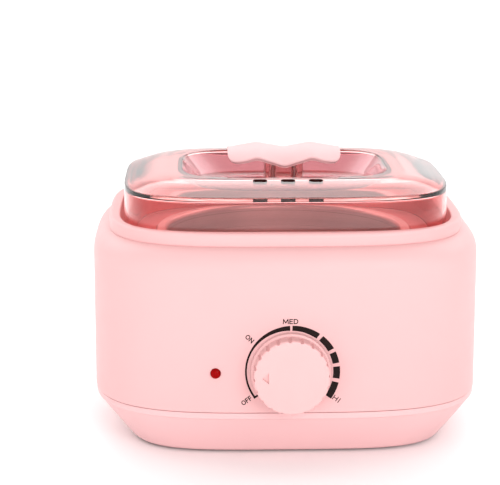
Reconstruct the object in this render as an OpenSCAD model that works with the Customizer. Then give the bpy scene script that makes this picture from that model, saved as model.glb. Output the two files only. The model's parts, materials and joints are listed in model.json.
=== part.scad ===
// Wax warmer pot: a rounded-rectangular moulded body with a tapered base, a dial on
// the front, a fixed heating well with a lift-out pot, and a lift-off tinted lid.
// Millimetres. Origin: on the floor under the middle of the body. +Z up, front is -Y.

/* [Body] */
// Width of the body across the straight walls
body_w = 195; // [185:1:205]
// Depth of the body, front wall to back wall
body_d = 174.2; // [168:0.2:182]
// Squareness of the body outline (2 is an ellipse, larger is squarer)
body_n = 3.47; // [3:0.01:4.2]
// Height of the top of the rim
rim_z = 110.9; // [108:0.1:114]
// Height of the seam between the upper housing and the base
seam_z = 24.3; // [22:0.1:27]
// How far the base tapers in, from the seam to the floor
base_inset = 17.2; // [12:0.1:20]
// How much less the base tapers at front and back
base_push = 4.6; // [0:0.1:6]
// Wall thickness of the mouldings
wall = 2.6; // [2.2:0.1:3]

/* [Lid] */
// Half width of the lid's outer wall
lid_a = 82.3; // [80:0.1:82.8]
// Half depth of the lid's outer wall
lid_b = 71.9; // [70:0.1:72.4]
// Squareness of the lid outline
lid_n = 3.9; // [3.2:0.01:4]
// Height of the lid's top outer edge
lid_edge_z = 126.7; // [124:0.1:128]
// Height of the rim of the hand recess in the lid
lid_top_z = 132.2; // [130:0.1:133]
// Depth of the hand recess in the lid
basin_d = 11.5; // [8:0.1:13]
// Thickness of the lid
lid_t = 2; // [1.6:0.1:2.4]

/* [Handle] */
// Length of the handle, left to right
handle_w = 58; // [50:1:64]
// Depth of the handle, front to back
handle_d = 38; // [30:1:44]
// Rise of the arch, front edge to middle
handle_arch = 5.6; // [3:0.1:7]
// Thickness of the handle plate
handle_t = 2.4; // [2:0.1:3]

/* [Pot] */
// Inner radius of the lift-out pot
pot_r = 61; // [58:0.5:61]
// Thickness of the pot's wall
pot_t = 1.2; // [0.8:0.1:1.2]

/* [Dial] */
// Height of the dial's axis above the floor
dial_z = 45.15; // [44:0.05:47]
// Radius of the knob's grip
knob_r = 18.2; // [16:0.1:18.6]
// Radius of the knob's skirt
skirt_r = 19.5; // [19:0.1:20.5]
// How far the knob stands out of the front wall
knob_out = 12.1; // [10:0.1:14]
// Number of notches round the grip
notches = 20; // [16:1:24]

/* [Mains lead] */
// Radius of the power cord
cord_r = 2.9; // [2.5:0.1:3]
// Number of turns in the tied bundle
cord_turns = 3.5; // [1.5:1:3.5]

/* [Hidden] */

half_w = body_w / 2;
half_d = body_d / 2;
front_y = -half_d;         // the front wall where the dial sits
base_n = 4.25;             // squareness of the base at the floor
recess_n = 4.04;           // squareness of the recess the lid stands in
deck_z = 95.5;             // floor of that recess
deck_t = 2.4;
pillars = [for (y = [22, -22], x = [72, -72]) [x, y]];
feet = concat([for (y = [50, -50], x = [60, -60]) [x, y]], [[0, 0]]);
well_r = pot_r + 2.2;      // inner radius of the fixed well
well_z = 37;               // underside of the well
flange_z = 97.3;           // top of the well's flange
bracket_screw_x = 76;
band_screw_y = 70.5;
band_screw_heights = [67, 77];
fuse_y = 24;
fuse_z = 34.85;
fuse_lead_x = 14;          // where the fuse leads turn down through the shield
lamp_x = -36.1;
lamp_z = 44.2;
terminal_xs = [-17, -10, -3];
terminal_ys = [48, 56];
exit_x = 30;               // where the cord leaves the back wall
exit_z = 34;
handle_screw_xs = [-5.5, 5.5];
pink = [0.98, 0.80, 0.79];
cord_white = [0.93, 0.9, 0.88];

// ---------- helpers ----------
// superellipse outline, its points at equal polar angles
function superellipse(half_x, half_y, power, z, count = 96) = [
    for (i = [0:count - 1])
        let (angle = 360 * i / count, c = cos(angle), s = sin(angle),
             r = pow(pow(abs(c) / half_x, power) + pow(abs(s) / half_y, power), -1 / power))
        [r * c, r * s, z]];

// rings from rows of [half width, half depth, squareness, z]
function rings(table) = [for (row = table) superellipse(row[0], row[1], row[2], row[3])];

// body outlines from rows of [inset, z]
function body_rings(table, power = body_n) =
    [for (row = table) superellipse(half_w - row[0], half_d - row[0], power, row[1])];

// closed loft; wrap joins the last ring to the first, else both ends are capped
module loft(rings, wrap = false, count = 96) {
    total = len(rings);
    polyhedron(
        points = [for (ring = rings) for (point = ring) point],
        faces = concat(
            [for (j = [0:(wrap ? total : total - 1) - 1]) for (i = [0:count - 1])
                let (near = j * count, far = ((j + 1) % total) * count, next = (i + 1) % count)
                for (face = [[near + i, far + next, near + next],
                             [near + i, far + i, far + next]]) face],
            wrap ? [] : [[for (i = [0:count - 1]) i],
                         [for (i = [count - 1:-1:0]) (total - 1) * count + i]]),
        convexity = 8);
}

function unit(v) = v / norm(v);

// [point, up, side] frames carried along a path without twisting
function frames(path, up, i = 0, done = []) = i == len(path) ? done :
    let (along = unit(path[min(i + 1, len(path) - 1)] - path[max(i - 1, 0)]),
         level = unit(up - (up * along) * along))
    frames(path, level, i + 1, concat(done, [[path[i], level, cross(along, level)]]));

// round tube along a path
module tube(path, r, count = 12, up = [0, 0, 1])
    loft([for (frame = frames(path, up))
             [for (i = [0:count - 1]) let (angle = 360 * i / count)
                 frame[0] + r * (cos(angle) * frame[1] - sin(angle) * frame[2])]],
         false, count);

// Catmull-Rom point between b and c
function spline_point(a, b, c, d, t) = 0.5 * ((2 * b) + (c - a) * t
    + (2 * a - 5 * b + 4 * c - d) * t * t + (3 * b - a - 3 * c + d) * t * t * t);

// smooth curve through guide points
function curve(guide, steps) = let (last = len(guide) - 1) concat(
    [for (i = [0:last - 1]) for (k = [0:steps - 1])
        spline_point(guide[max(i - 1, 0)], guide[i], guide[i + 1],
                     guide[min(i + 2, last)], k / steps)],
    [guide[last]]);

// cylinders along each axis, between two positions on it
module x_cyl(y, z, r, x0, x1, sides = 48)
    translate([x0, y, z]) rotate([0, 90, 0]) cylinder(r = r, h = x1 - x0, $fn = sides);
module y_cyl(x, z, r, y0, y1, sides = 64)
    translate([x, y0, z]) rotate([-90, 0, 0]) cylinder(r = r, h = y1 - y0, $fn = sides);
module z_cyl(x, y, r, z0, z1, sides = 48)
    translate([x, y, z0]) cylinder(r = r, h = z1 - z0, $fn = sides);

// turned shape facing the front; profile rows are [radius, distance forward of y]
module front_lathe(profile, x, z, y = 0, sides = 48)
    translate([x, y, z]) rotate([90, 0, 0]) rotate_extrude($fn = sides) polygon(profile);

// round-ended slot, flat
module slot(length, width) {
    square([length - width, width], center = true);
    for (side = [-1, 1]) translate([side * (length - width) / 2, 0]) circle(d = width, $fn = 32);
}

// upright screw, head down, with a cross recess; profile rows are [radius, z]
module cross_screw(profile, cross_w, cross_t, cross_z, cross_h) difference() {
    rotate_extrude($fn = 32) polygon(profile);
    for (turn = [0, 90])
        rotate(turn) translate([-cross_w / 2, -cross_t / 2, cross_z]) cube([cross_w, cross_t, cross_h]);
}

// ---------- casing ----------
// upper moulding: side walls, shoulder, rim, recess and deck in one piece
module upper_housing() color(pink) {
    bottom_z = seam_z + 0.3;
    under_z = deck_z - deck_t;
    difference() {
        union() {
            loft(concat(
                // outer wall, shoulder and outside of the rim
                body_rings([[0.3, bottom_z], [0, bottom_z + 0.5], [0, 93], [0.3, 96.2], [1.1, 99],
                            [2.7, 101.3], [5.1, 103.3], [8.2, 104.5], [7.9, 105.1],
                            [7.9, rim_z - 2.4], [8.5, rim_z - 0.9], [9.9, rim_z]]),
                // inside of the rim, down to the deck
                body_rings([[12.6, rim_z], [13.6, rim_z - 0.4], [14, rim_z - 1.3], [14, deck_z]],
                           recess_n),
                // inner edge of the deck
                rings([[62, 62, 2, deck_z], [62, 62, 2, under_z]]),
                // underside of the deck and inside of the wall
                body_rings([[11.6, under_z], [11.6, 100.4]], recess_n),
                body_rings([[8.6, 100.4], [5.8, 98.1], [3.7, 95.3], [wall, 91.5],
                            [wall, bottom_z]])), true);
            for (p = pillars) z_cyl(p.x, p.y, 4.5, 14.3, deck_z - 1);
            for (side = [-1, 1]) z_cyl(bracket_screw_x * side, 0, 4.5, 28.55, deck_z - 1);
        }
        // well opening
        z_cyl(0, 0, 66, deck_z - 5, deck_z + 1, 96);
        // screw holes
        for (p = pillars) z_cyl(p.x, p.y, 1.5, 10, 36);
        for (side = [-1, 1]) z_cyl(bracket_screw_x * side, 0, 1.5, 20, 46);
        // dial, lamp and cord holes
        y_cyl(0, dial_z, 4.5, front_y - 2, front_y + 5);
        y_cyl(lamp_x, lamp_z, 2.6, front_y - 2, front_y + 6);
        y_cyl(exit_x, exit_z, 6, half_d - 6, half_d + 2);
    }
}

// base outline: front and back move out by up to base_push towards the bottom
function base_ring(inset, z) =
    let (push = base_push * max(0, min(1, (seam_z - 3.7 - z) / (seam_z - 5.8))))
    superellipse(half_w - inset, half_d - inset + push, base_n, z);

// lower moulding: tapered tray with a tongue that goes up inside the housing
module base_shell() color(pink) {
    top_z = seam_z - 0.3;
    difference() {
        union() {
            difference() {
                loft(concat(
                    [base_ring(base_inset + 1.1, 1.2), base_ring(base_inset, 2.1)],
                    body_rings([[0.95, top_z - 3.2], [0.4, top_z - 2.8], [0.35, top_z - 0.4],
                                [0.65, top_z], [wall + 0.15, top_z], [wall + 0.15, top_z + 3.8],
                                [wall + 0.5, top_z + 4.2], [wall + 1.8, top_z + 4.2],
                                [wall + 1.8, top_z - 3.4]]),
                    [base_ring(base_inset + 2.4, 3.7)]));
                // slots in the floor, three each side of the middle foot
                for (i = [-3, -2, -1, 1, 2, 3])
                    translate([10 * i, 0, 0]) rotate(90) linear_extrude(6) slot(30, 2.6);
            }
            for (p = pillars) z_cyl(p.x, p.y, 6, 2.5, 14.2);
        }
        // counterbore and clearance hole for each screw
        for (p = pillars) {
            z_cyl(p.x, p.y, 4.2, 0, 10);
            z_cyl(p.x, p.y, 1.9, 9, 16);
        }
        for (p = feet) z_cyl(p.x, p.y, 3.05, 0, 6);
        y_cyl(exit_x, exit_z, 7.5, half_d - 12, half_d - 2);
    }
}

// five push-in feet, four near the corners and one under the middle
module rubber_feet() color([0.15, 0.15, 0.16])
    for (p = feet) translate([p.x, p.y, 0])
        rotate_extrude($fn = 48) polygon([[0, 0], [6.3, 0], [7, 0.6], [7, 1.15], [3, 1.15],
                                          [3, 3.75], [3.7, 3.9], [2.2, 5.6], [0, 5.6]]);

// four self-tapping screws that hold the base to the housing
module base_screws() color("silver")
    for (p = pillars) translate([p.x, p.y, 0])
        cross_screw([[0, 7.2], [2.2, 7.3], [3.5, 8.3], [3.5, 9.9], [1.45, 9.9],
                     [1.45, 33], [0, 34.5]],
                    cross_w = 3.8, cross_t = 0.9, cross_z = 6, cross_h = 2.4);

// ---------- heating ----------
// Profiles turned about the vertical axis are rows of [radius, z].

// fixed aluminium well with its welded stud
module heating_well() color([0.78, 0.79, 0.8]) rotate_extrude($fn = 96) polygon([
    [0, 22], [2, 22], [2, well_z], [well_r - 2, well_z], [well_r + 0.6, well_z + 0.8],
    [well_r + 1.2, well_z + 3], [well_r + 1.2, 96.2], [68, 96.2], [68, 97.0],
    [67.7, flange_z], [well_r + 0.5, flange_z], [well_r, 96.6], [well_r, well_z + 3.4],
    [well_r - 1.2, well_z + 1.6], [well_r - 2.6, well_z + 1.5], [0, well_z + 1.5]]);

// silicone ring between the well's flange and the deck
module bowl_gasket() color([0.85, 0.84, 0.82]) rotate_extrude($fn = 96) polygon([
    [64.65, 96.15], [64.65, 92.6], [65.2, 92.2], [65.95, 92.6], [65.95, 95.55],
    [68.5, 95.55], [68.5, 96.15]]);

// lift-out aluminium pot with a rolled rim
module wax_pot() color([0.82, 0.83, 0.84]) rotate_extrude($fn = 96) polygon([
    // outside, from the middle of the floor up
    [0, well_z + 1.55], [pot_r - 6, well_z + 1.55], [pot_r - 1.6, well_z + 2.9],
    [pot_r + pot_t, well_z + 6.4], [pot_r + pot_t, flange_z + 0.05],
    // rim
    [67, flange_z + 0.05], [67.3, flange_z + 0.5], [67, 98.6], [66.2, 99.0], [63, 99.0],
    [61.9, 98.8], [pot_r + 0.2, 98.2], [pot_r, 97.4],
    // inside, back down
    [pot_r, well_z + 6.6], [pot_r - 2.4, well_z + 3.9], [pot_r - 6.4, well_z + 2.75],
    [0, well_z + 2.75]]);

// resistance band wrapped round the well, with two ears at the back
module heater_band() color([0.72, 0.66, 0.5]) difference() {
    union() {
        rotate([0, 0, 93]) rotate_extrude(angle = 354, $fn = 96)
            translate([well_r + 1.25, 56]) square([1.5, 32]);
        for (side = [-1, 1]) translate([side * 4 - 0.6, 64.9, 62]) cube([1.2, 9.1, 20]);
    }
    for (z = band_screw_heights) x_cyl(band_screw_y, z, 1.6, -8, 8);
}

// clamping screws through the ears, heads to the right
module band_screws() color("silver") for (z = band_screw_heights) union() {
    x_cyl(band_screw_y, z, 1.5, -9, 5);
    x_cyl(band_screw_y, z, 2.8, 4.65, 6.8);
}

module band_nuts() color("silver") for (z = band_screw_heights) difference() {
    x_cyl(band_screw_y, z, 3.1, -7.1, -4.65, 6);
    x_cyl(band_screw_y, z, 1.52, -8, -4, 32);
}

// aluminium dish between the hot well and the wiring
module heat_shield() color([0.8, 0.8, 0.8]) difference() {
    rotate_extrude($fn = 96) polygon([[2.1, 28.55], [59, 28.55], [60.8, 30.4], [60.8, 35],
                                      [60, 35], [60, 30.7], [58.7, 29.35], [2.1, 29.35]]);
    for (side = [-1, 1]) z_cyl(fuse_lead_x * side, fuse_y, 2.2, 27, 31);
}

// sleeve on the stud between shield and well
module stud_spacer() color("silver") difference() {
    z_cyl(0, 0, 4, 29.4, 36.95);
    z_cyl(0, 0, 2.1, 28, 38);
}

// steel strip that pulls the well down on to the deck
module well_bracket() color([0.6, 0.62, 0.64]) difference() {
    translate([-83, -8, 27]) cube([166, 16, 1.5]);
    z_cyl(0, 0, 2.1, 26, 30);
    for (side = [-1, 1]) z_cyl(bracket_screw_x * side, 0, 1.7, 26, 30);
}

module bracket_screws() color("silver")
    for (side = [-1, 1]) translate([bracket_screw_x * side, 0, 0])
        cross_screw([[0, 24.4], [2.2, 24.5], [3.3, 25.4], [3.3, 26.95], [1.45, 26.95],
                     [1.45, 43], [0, 44.5]],
                    cross_w = 3.6, cross_t = 0.9, cross_z = 23.5, cross_h = 2.2);

module well_nut() color("silver") difference() {
    z_cyl(0, 0, 4.04, 23.8, 26.95, 6);
    z_cyl(0, 0, 2.05, 23, 28);
}

// ---------- control ----------
// adjustable thermostat with its threaded bush through the front wall
module thermostat_body() color([0.2, 0.17, 0.15]) difference() {
    union() {
        translate([-13, front_y + 2.8, 33.5]) cube([26, 13, 23.4]);
        y_cyl(0, dial_z, 4.4, front_y - 3.1, front_y + 6);
    }
    y_cyl(0, dial_z, 3.05, front_y - 5, front_y + 13);
}

module blade_terminals() color([0.75, 0.6, 0.3])
    for (side = [-1, 1]) translate([7 * side - 2.4, -79, 28.2]) cube([4.8, 0.8, 5.25]);

// copper pad that carries the well's heat to the thermostat
module sensor_pad() color([0.72, 0.45, 0.3]) union() {
    rotate([0, 0, -98]) rotate_extrude(angle = 16, $fn = 96)
        translate([well_r + 1.3, 41.5]) square([1.1, 11]);
    translate([-3.5, front_y + 15.85, 42.5]) cube([7, 6.3, 6]);
}

// the turning shaft, with a flat where the knob grips it
module thermostat_spindle() color([0.8, 0.8, 0.8]) difference() {
    y_cyl(0, dial_z, 3, front_y - 10, front_y + 10.5);
    translate([-4, front_y - 11, dial_z + 1.7]) cube([8, 7.5, 3]);
}

module bush_nut() color("silver") difference() {
    y_cyl(0, dial_z, 7.5, front_y - 2.8, front_y - 0.3, 6);
    y_cyl(0, dial_z, 4.45, front_y - 4, front_y + 1);
}

// skirted knob with a notched grip and an engraved pointer, hollow at the back
module control_knob() color(pink) difference() {
    notch_r = knob_r + 0.2;    // circle the notch centres lie on
    union() {
        difference() {
            front_lathe([
                [0, knob_out], [knob_r - 2.4, knob_out], [knob_r - 0.6, knob_out - 0.4],
                [knob_r, knob_out - 1.2], [knob_r, 3.1], [skirt_r - 0.3, 2.8], [skirt_r, 2.3],
                [skirt_r, 0.5], [skirt_r - 1.6, 0.5], [skirt_r - 1.9, 1.9], [knob_r - 2.2, 3.2],
                [knob_r - 2.4, knob_out - 2.4], [0, knob_out - 2.4]],
                x = 0, z = dial_z, y = front_y, sides = 96);
            for (i = [0:notches - 1]) let (angle = 3 + 360 * i / notches)
                y_cyl(notch_r * cos(angle), dial_z + notch_r * sin(angle), 0.95,
                      front_y - knob_out - 1, front_y - 3.1, 24);
        }
        // hub
        y_cyl(0, dial_z, 6, front_y - knob_out + 1.5, front_y - 4.2);
    }
    // shaft bore with a flat
    difference() {
        y_cyl(0, dial_z, 3.05, front_y - 10.4, front_y);
        translate([-4, front_y - 12, dial_z + 2.35]) cube([8, 14, 3]);
    }
    // pointer
    translate([0, front_y - knob_out + 0.5, dial_z]) rotate([90, 0, 0])
        linear_extrude(2) polygon([[-14.1, 0], [-11, 2.6], [-11, -2.6]]);
}

// leaf spring on the shaft's flat
module knob_spring() color([0.6, 0.6, 0.62])
    translate([-1.6, front_y - 9.6, dial_z + 1.75]) cube([3.2, 5.2, 0.5]);

// one-shot thermal cut-out under the well, with its leads through the shield
module thermal_fuse() color([0.85, 0.8, 0.7]) union() {
    x_cyl(fuse_y, fuse_z, 1.9, -6, 6);
    for (side = [-1, 1]) {
        x_cyl(fuse_y, fuse_z, 0.5, side * 10 - 4.5, side * 10 + 4.5, 24);
        z_cyl(fuse_lead_x * side, fuse_y, 0.5, 25.2, 34.9, 24);
    }
}

// saddle open at the bottom, with a tab in front and one behind
module fuse_clip() color("silver") union() {
    translate([-3, fuse_y, fuse_z]) rotate([90, 0, 90]) rotate([0, 0, 180])
        linear_extrude(6) difference() {
            union() {
                circle(r = 2.6, $fn = 48);
                translate([-2.6, -2.1]) square([5.2, 2.1]);
            }
            circle(r = 2, $fn = 48);
            translate([-2, -3]) square([4, 3]);
        }
    for (y = [16.5, 26]) translate([-3, y, 36.35]) cube([6, 5.5, 0.6]);
}

// ---------- indicator ----------
// domed red lens
module indicator_lens() color([0.75, 0.05, 0.08]) front_lathe(concat(
    [[0, 81.9], [3.5, 81.9], [3.5, 83.1], [2.5, 83.1], [2.5, 86.6]],
    [for (angle = [10:10:80]) [2.5 * cos(angle), 86.6 + 1.5 * sin(angle)]],
    [[0, 88.1]]), lamp_x, lamp_z);

module lamp_holder() color([0.9, 0.9, 0.88]) front_lathe(
    [[3.6, 82.7], [3.6, 75.2], [2.4, 75.2], [2.4, 74], [4.8, 74], [4.8, 82.7]], lamp_x, lamp_z);

module indicator_lamp() color([0.95, 0.6, 0.5]) union() {
    y_cyl(lamp_x, lamp_z, 2.2, -81.7, -72.6);
    for (side = [-1, 1]) y_cyl(lamp_x + side, lamp_z, 0.3, -72.7, -70.4, 24);
}

// ---------- wiring ----------
module terminal_block() color([0.93, 0.92, 0.88]) difference() {
    translate([-25, 44, 3.75]) cube([30, 16, 12]);
    for (x = terminal_xs) {
        y_cyl(x, 9, 1.3, 43, 61, 32);
        for (y = terminal_ys) z_cyl(x, y, 1.7, 10, 17, 32);
    }
}

module terminal_screws() color("silver") for (x = terminal_xs, y = terminal_ys) difference() {
    z_cyl(x, y, 1.62, 10.4, 14.4, 32);
    translate([x - 2, y - 0.3, 13.6]) cube([4, 0.6, 2]);
}

// guide points [x, y, z] of each wire
wire_paths = [
    // cord to the right-hand terminal
    [[28.6, 68.15, 34], [28.6, 66.2, 33.6], [27.4, 64.6, 30], [23, 65, 22], [12, 66, 13],
     [-3, 65.5, 9.4], [-3, 61, 9], [-3, 57.5, 9]],
    // cord to the left-hand terminal
    [[31.4, 68.15, 34], [31.4, 66.2, 33.6], [31.6, 64.8, 30], [30, 66, 20], [24, 67, 11],
     [2, 68, 6.6], [-14, 67, 8], [-17, 63.5, 9], [-17, 60.5, 9], [-17, 57.5, 9]],
    // left-hand terminal to the fuse
    [[-17, 46.5, 9], [-17, 43.4, 9], [-17, 40.5, 9.2], [-16, 32, 11], [-14, 25, 17],
     [-14, 24, 24.8]],
    // fuse to the thermostat's right blade
    [[14, 24, 24.8], [14, 23, 17], [14, 0, 11], [11, -50, 12], [7.2, -75, 17],
     [7, -78.6, 22], [7, -78.6, 27.9]],
    // thermostat's left blade to the front of the heater band
    [[-7, -78.6, 27.9], [-7.5, -78, 23], [-20, -72.5, 18], [-40, -58, 22],
     [-46.6, -46.8, 36], [-46.6, -46.6, 55.8]],
    // back of the heater band to the right-hand terminal
    [[-46.6, 46.6, 55.8], [-46.6, 46.8, 34], [-42, 44, 14], [-32, 40, 6], [-17, 36, 5],
     [-7, 35.5, 5.6], [-3.2, 39.5, 8.8], [-3, 43, 9], [-3, 46.5, 9]],
    // lamp to the thermostat's left blade
    [[-35.1, -70.38, 44.2], [-35.1, -68.4, 43.9], [-34.2, -67.4, 40.6], [-31, -69, 36],
     [-22, -73, 31.5], [-13, -77.5, 30.5], [-9.8, -78.6, 30.5]],
    // lamp to the middle terminal
    [[-37.1, -70.38, 44.2], [-37.1, -68.4, 43.9], [-38, -67, 40.6], [-42, -64, 33],
     [-53, -56, 18], [-52, -20, 10], [-37, 22, 10], [-24, 31, 14.4], [-14, 33, 13],
     [-10.3, 38.5, 9.8], [-10, 42.6, 9], [-10, 46.5, 9]]];

// a wire that starts out steeply needs a level starting direction for its frames
module internal_wires() color([0.75, 0.2, 0.18])
    for (path = wire_paths)
        tube(curve(path, 4), 0.9, 8, abs(path[0].z - path[1].z) > 4 ? [0, 1, 0] : [0, 0, 1]);

// bush and tapered boot where the cord leaves the back wall; rows are [radius, y]
module strain_relief() color(cord_white)
    translate([exit_x, 0, exit_z]) rotate([-90, 0, 0]) rotate_extrude($fn = 48) polygon([
        [cord_r + 0.05, 79], [7, 79], [7, 81.4], [7, 82.4], [5.9, 83.1], [5.9, 87.3],
        [7.6, 87.4], [7.6, 88.8], [5.6, 89.8], [4.2, 96.8], [cord_r + 0.05, 96.8]]);

// the tied bundle: oval turns stepping backwards
loop_half_w = 48;
loop_half_h = 15;
loop_pitch = 6.3;
loop_x = -30;
loop_y = 107;                       // first turn
loop_z = exit_z - loop_half_h;
bend_r = 10;                        // bend from the boot towards the bundle
plug_y = loop_y + loop_pitch * cord_turns;
tail_rise = 3.6;                    // from the bottom of the bundle up to the plug
tail_z = loop_z - loop_half_h;
plug_z = tail_z + tail_rise;

cord_path = concat(
    [[exit_x, 68.2, exit_z], [exit_x, 80, exit_z], [exit_x, loop_y - bend_r, exit_z]],
    [for (t = [15:15:90])
        [exit_x - bend_r + bend_r * cos(t), loop_y - bend_r + bend_r * sin(t), exit_z]],
    [[0, loop_y, exit_z], [-15, loop_y, exit_z]],
    [for (t = [0:12:360 * cord_turns])
        [loop_x - loop_half_w * sin(t), loop_y + loop_pitch * t / 360,
         loop_z + loop_half_h * cos(t)]],
    [for (k = [1:5])
        [loop_x + 52 * k / 5 - 4, plug_y, tail_z + tail_rise * (1 - cos(180 * k / 5)) / 2]],
    [[24, plug_y, plug_z]]);

// supply cord: out of the wall, round a bend and into the bundle
module power_cord() color(cord_white) tube(cord_path, cord_r);

// outline round the top and bottom strands, seen along x
module tie_outline(r) hull()
    for (strand = [[loop_y, 1], [plug_y - loop_pitch / 2, 1],
                   [loop_y + loop_pitch / 2, -1], [plug_y, -1]])
        translate([strand[0], loop_z + strand[1] * loop_half_h]) circle(r = r, $fn = 32);

// strap round the bundle
module cord_tie() color([0.2, 0.2, 0.2])
    translate([loop_x - 7, 0, 0]) rotate([90, 0, 90]) linear_extrude(14) difference() {
        tie_outline(cord_r + 1);
        tie_outline(cord_r + 0.15);
    }

blade_y = 6.35;    // plug blades, either side of the plug's middle

// two-pin plug lying beside the bundle
module mains_plug() color(cord_white) translate([0, plug_y, plug_z]) difference() {
    union() {
        rotate([0, 90, 0]) rotate_extrude($fn = 32)
            polygon([[cord_r + 0.05, 20], [4, 20], [5.4, 33], [cord_r + 0.05, 33]]);
        translate([32, -11, -7]) cube([5, 22, 14]);
        translate([36.5, -12.2, -7.4]) cube([17, 24.4, 14.8]);
    }
    x_cyl(0, 0, cord_r + 0.05, 15, 34);
    for (side = [-1, 1]) translate([44, side * blade_y - 0.8, -3.25]) cube([12, 1.6, 6.5]);
}

module plug_blades() color([0.8, 0.75, 0.6])
    for (side = [-1, 1])
        translate([44.1, plug_y + side * blade_y - 0.75, plug_z - 3.15]) difference() {
            cube([27, 1.5, 6.3]);
            translate([23.5, -1, 3.15]) rotate([-90, 0, 0]) cylinder(r = 1.5, h = 4, $fn = 32);
        }

// ---------- lid ----------
basin_z = lid_top_z - basin_d;      // floor of the hand recess

// tinted shell with a hand recess and a central post for the handle
module lid() color([0.85, 0.35, 0.35, 0.45]) difference() {
    inner_a = lid_a - lid_t;
    inner_b = lid_b - lid_t;
    under_z = lid_top_z - lid_t;
    union() {
        loft(rings([
            [lid_a - 0.3, lid_b - 0.3, lid_n, deck_z + 0.05],
            [lid_a, lid_b, lid_n, deck_z + 0.5],
            [lid_a - 0.7, lid_b - 1.2, 4, lid_edge_z - 0.8],
            [lid_a - 0.9, lid_b - 1.4, 4, lid_edge_z - 0.3],
            [lid_a - 1.5, lid_b - 2, 4, lid_edge_z],
            [74, 63, 4.5, lid_top_z - 3.1], [69, 58, 5, lid_top_z - 1.55],
            [63.5, 53.2, 6, lid_top_z - 0.55], [58, 48.6, 6, lid_top_z - 0.05],
            [53.5, 45.2, 4.2, lid_top_z], [52.1, 43.8, 4.2, lid_top_z - 0.4],
            [44.5, 32.8, 3, basin_z + 1.2], [41.6, 30, 3, basin_z]]));
        // post with rounded corners
        translate([0, 0, basin_z - 1]) linear_extrude(basin_d + 4.8) union() {
            square([16, 16], center = true);
            square([20, 12], center = true);
            for (x = [-8, 8], y = [-6, 6]) translate([x, y]) circle(r = 2, $fn = 32);
        }
    }
    // hollow
    loft(rings([
        [inner_a - 0.2, inner_b - 0.2, lid_n, deck_z - 1],
        [inner_a - 0.7, inner_b - 1.2, 4, lid_edge_z - lid_t - 1.2],
        [inner_a - 2, inner_b - 2.5, 4, lid_edge_z - lid_t - 0.1],
        [73.4, 62.4, 4.5, under_z - 3.1], [68.5, 57.5, 5, under_z - 1.6],
        [63.1, 52.8, 6, under_z - 0.6], [57.8, 48.3, 6, under_z - 0.1],
        [55.4, 46.7, 4.2, under_z - 0.1], [53.4, 44.8, 4.2, under_z - 0.7],
        [45.6, 33.6, 3, basin_z - 1], [42, 30, 3, basin_z - lid_t]]));
    // three slots near the front edge
    for (i = [-1:1])
        translate([13.7 * i, -51.8, lid_top_z - 6]) linear_extrude(10) slot(7.2, 3.9);
    // holes and counterbores for the handle screws
    for (x = handle_screw_xs) {
        z_cyl(x, 0, 1.6, 115, 140, 32);
        z_cyl(x, 0, 3.2, 115, 121.5, 32);
    }
}

// top surface of the handle: an arch front to back with waves along its length
function handle_z(x, y) = let (wave = 360 * x / 28, out = pow(2 * y / handle_d, 2))
    lid_top_z + 3.85 + handle_arch * (1 - out)
    - (0.95 + 0.8 * out) * (cos(wave) + 0.1 * cos(3 * wave));

// handle outline shrunk by scale and laid dz from the top surface
function handle_ring(scale, dz, count) =
    [for (p = superellipse(handle_w / 2, handle_d / 2, 6, 0, count))
        let (x = p.x * scale, y = p.y * scale) [x, y, handle_z(x, y) + dz]];

// arched, wavy grip plate with a block under it that takes the screws
module lid_handle() color(pink) union() {
    count = 64;
    inner_scales = [0.02, 0.2, 0.4, 0.6, 0.78, 0.9];
    // [scale, dz] round the edge, from the underside to the top
    edge = [[0.95, -handle_t + 0.15], [0.965, -1.9], [1, -0.8], [0.965, -0.15]];
    loft(concat(
        [for (scale = inner_scales) handle_ring(scale, -handle_t, count)],
        [for (row = edge) handle_ring(row[0], row[1], count)],
        [for (i = [5:-1:0]) handle_ring(inner_scales[i], 0, count)]), false, count);
    difference() {
        translate([0, 0, lid_top_z + 3.8]) linear_extrude(4) square([17, 12], center = true);
        for (x = handle_screw_xs) z_cyl(x, 0, 1.3, 130, 139, 32);
    }
}

module handle_screws() color("silver")
    for (x = handle_screw_xs) translate([x, 0, 0])
        cross_screw([[0, 119.4], [1.9, 119.5], [2.8, 120.2], [2.8, 121.45], [1.25, 121.45],
                     [1.25, 138], [0, 138.8]],
                    cross_w = 3, cross_t = 0.8, cross_z = 118.6, cross_h = 1.8);

upper_housing();
base_shell();
rubber_feet();
base_screws();
heating_well();
bowl_gasket();
wax_pot();
heater_band();
band_screws();
band_nuts();
heat_shield();
stud_spacer();
well_bracket();
bracket_screws();
well_nut();
thermostat_body();
blade_terminals();
sensor_pad();
thermostat_spindle();
bush_nut();
control_knob();
knob_spring();
thermal_fuse();
fuse_clip();
indicator_lens();
lamp_holder();
indicator_lamp();
terminal_block();
terminal_screws();
internal_wires();
strain_relief();
power_cord();
cord_tie();
mains_plug();
plug_blades();
lid();
lid_handle();
handle_screws();
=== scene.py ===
"""A wax warmer: a rounded pink casing with a pot, a front dial and lamp, a bundled mains lead
and a clear tinted lid with a handle.

It stands on the floor at z = 0, centred on the Z axis. The dial faces -Y, the lead leaves
at the back (+Y). Shapes are in millimetres; shaders, lights and camera are in metres.
"""
import json
import math

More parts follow.
